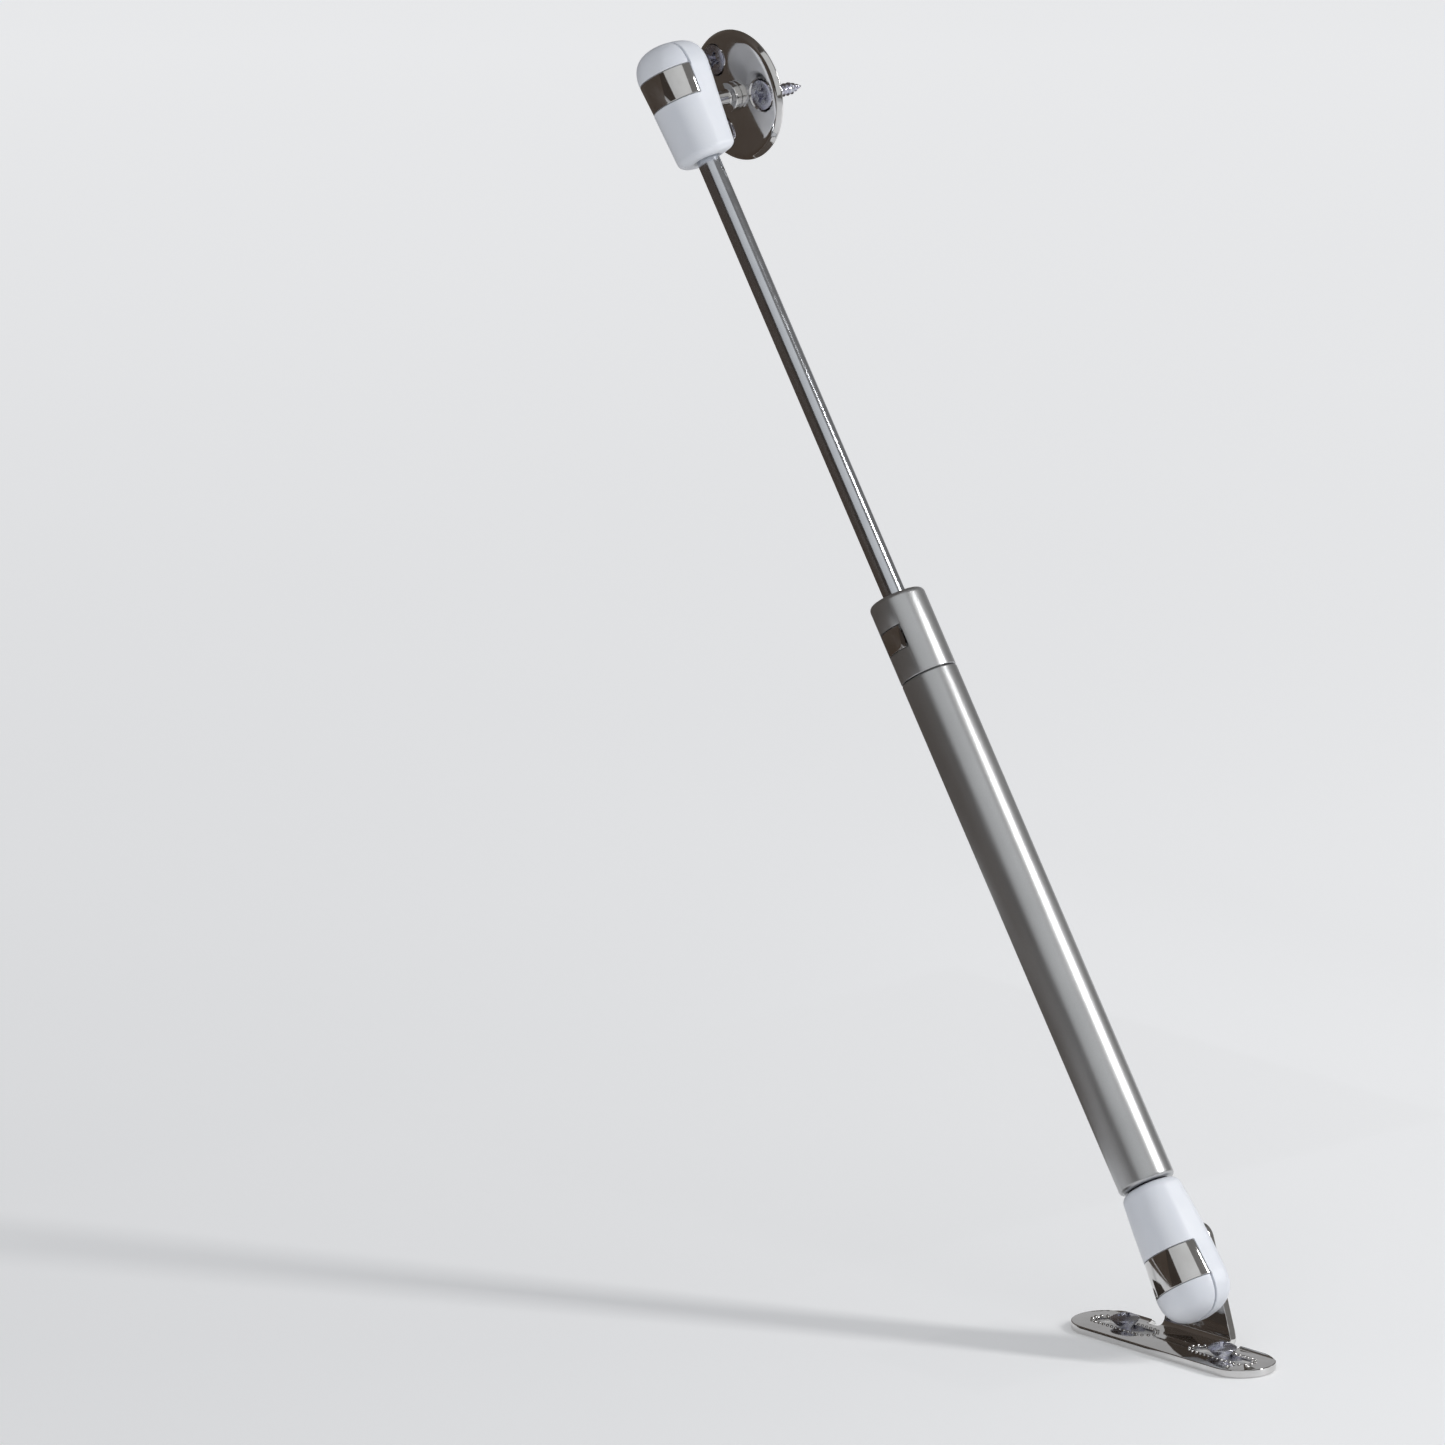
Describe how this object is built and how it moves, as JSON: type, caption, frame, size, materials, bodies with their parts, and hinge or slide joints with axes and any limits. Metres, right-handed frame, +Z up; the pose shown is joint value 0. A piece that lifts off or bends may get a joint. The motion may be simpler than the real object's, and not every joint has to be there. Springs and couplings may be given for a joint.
{
  "type": "gas strut stay",
  "caption": "Gas spring stay for a cabinet flap: painted tube, steel rod, clipped plastic ball sockets, a round wall plate and a slotted door bracket with a ball stud.",
  "frame": {"origin": "centre of the door bracket's underside, between its two slots", "axes": "+X towards the cabinet side that the round wall plate is screwed to, +Y along that side into the cabinet, +Z up, out of the door panel that the bracket stands on; at rest the strut is fully extended and leans 35 degrees from +Z towards +Y"},
  "size_m": [0.0399, 0.2359, 0.3198],
  "materials": {
    "tube_paint": "satin silver-grey paint",
    "socket_plastic": "moulded white plastic",
    "chrome": "bright nickel-chrome plate",
    "ground_steel": "ground and polished",
    "zinc_steel": "bright zinc plate",
    "sintered_bronze": "oiled sintered bronze",
    "seal_rubber": "black nitrile rubber",
    "piston_nylon": "natural nylon"
  },
  "bodies": {
    "cylinder": {"pressure_tube": "tube_paint", "tube_cap": "tube_paint", "tube_cap_clip": "chrome", "rod_guide_bush": "sintered_bronze", "seal_support_washer": "zinc_steel", "rod_seal": "seal_rubber", "stop_washer": "zinc_steel", "tube_end_plug": "zinc_steel", "end_plug_o_ring": "seal_rubber"},
    "floating_ring": {"piston_ring": "seal_rubber"},
    "rod": {"piston_rod": "ground_steel", "piston": "piston_nylon", "piston_top_washer": "zinc_steel", "piston_bottom_washer": "zinc_steel", "upper_socket": "socket_plastic"},
    "upper_clip": {"upper_socket_clip": "chrome"},
    "upper_stud": {"upper_ball_stud": "chrome"},
    "wall_mount": {"wall_plate": "chrome", "wall_plate_screw_1": "zinc_steel", "wall_plate_screw_2": "zinc_steel", "wall_plate_screw_3": "zinc_steel"},
    "lower_end": {"lower_socket": "socket_plastic"},
    "lower_clip": {"lower_socket_clip": "chrome"},
    "lower_stud": {"lower_ball_stud": "chrome"},
    "door_mount": {"door_bracket": "chrome", "door_bracket_screw_1": "zinc_steel", "door_bracket_screw_2": "zinc_steel"}
  },
  "joints": [
    {"name": "rod_stroke", "type": "slide", "parent": "cylinder", "child": "floating_ring", "axis": [0, 0.5736, 0.8192], "range_m": [-0.12, 0], "stiffness_N_per_m": 267, "springref_m": 0.3},
    {"name": "rod_turn", "type": "hinge", "parent": "floating_ring", "child": "rod", "pos_m": [0, 0, 0.027], "axis": [0, 0.5736, 0.8192], "continuous": true},
    {"name": "upper_clip_release", "type": "slide", "parent": "rod", "child": "upper_clip", "axis": [-1, 0, 0], "range_m": [0, 0.003]},
    {"name": "upper_ball_tilt", "type": "hinge", "parent": "rod", "child": "upper_stud", "pos_m": [0, 0.18469, 0.29077], "axis": [0, 0.8192, -0.5736], "range_deg": [-12, 12]},
    {"name": "wall_plate_swing", "type": "hinge", "parent": "upper_stud", "child": "wall_mount", "pos_m": [0, 0.18469, 0.29077], "axis": [1, 0, 0], "continuous": true},
    {"name": "lower_socket_turn", "type": "hinge", "parent": "cylinder", "child": "lower_end", "pos_m": [0, 0, 0.027], "axis": [0, 0.5736, 0.8192], "continuous": true},
    {"name": "lower_clip_release", "type": "slide", "parent": "lower_end", "child": "lower_clip", "axis": [-1, 0, 0], "range_m": [0, 0.003]},
    {"name": "lower_ball_tilt", "type": "hinge", "parent": "lower_end", "child": "lower_stud", "pos_m": [0, 0, 0.027], "axis": [0, 0.8192, -0.5736], "range_deg": [-5, 5]},
    {"name": "door_bracket_swing", "type": "hinge", "parent": "lower_stud", "child": "door_mount", "pos_m": [0, 0, 0.027], "axis": [1, 0, 0], "range_deg": [-135, 65]}
  ]
}
